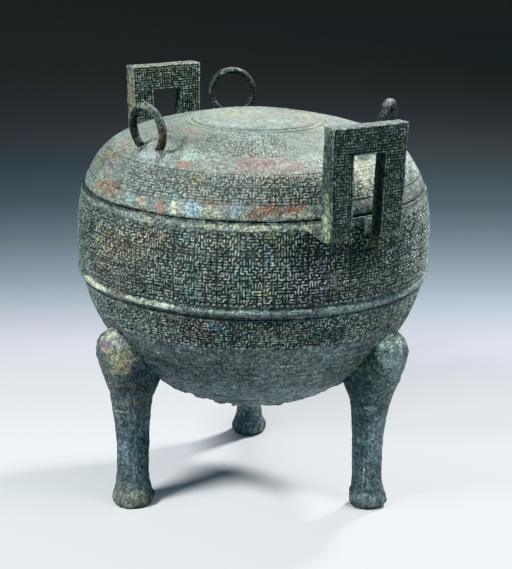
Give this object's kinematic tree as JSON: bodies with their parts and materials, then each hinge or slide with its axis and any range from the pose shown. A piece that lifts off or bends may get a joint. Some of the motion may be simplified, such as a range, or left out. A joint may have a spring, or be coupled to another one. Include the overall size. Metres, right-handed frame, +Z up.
{
  "type": "bronze ding vessel",
  "caption": "Round lidded bronze cooking vessel on three curved legs, with upright ears, ring handles on the domed lid and bands of interlaced meander.",
  "frame": {"origin": "on the ground under the middle of the bowl", "axes": "+Z up, the ears stand on the X axis, and one leg points to -Y"},
  "size_m": [0.309, 0.2696, 0.3146],
  "materials": {
    "vessel_bronze": "dark blue-green patina on cast bronze, matt, with cream and red-brown crusts",
    "lid_bronze": "pale grey-green patina on cast bronze, matt, with red-brown and blue patches"
  },
  "bodies": {
    "root": {"vessel": "vessel_bronze", "lid": "lid_bronze"}
  },
  "joints": []
}
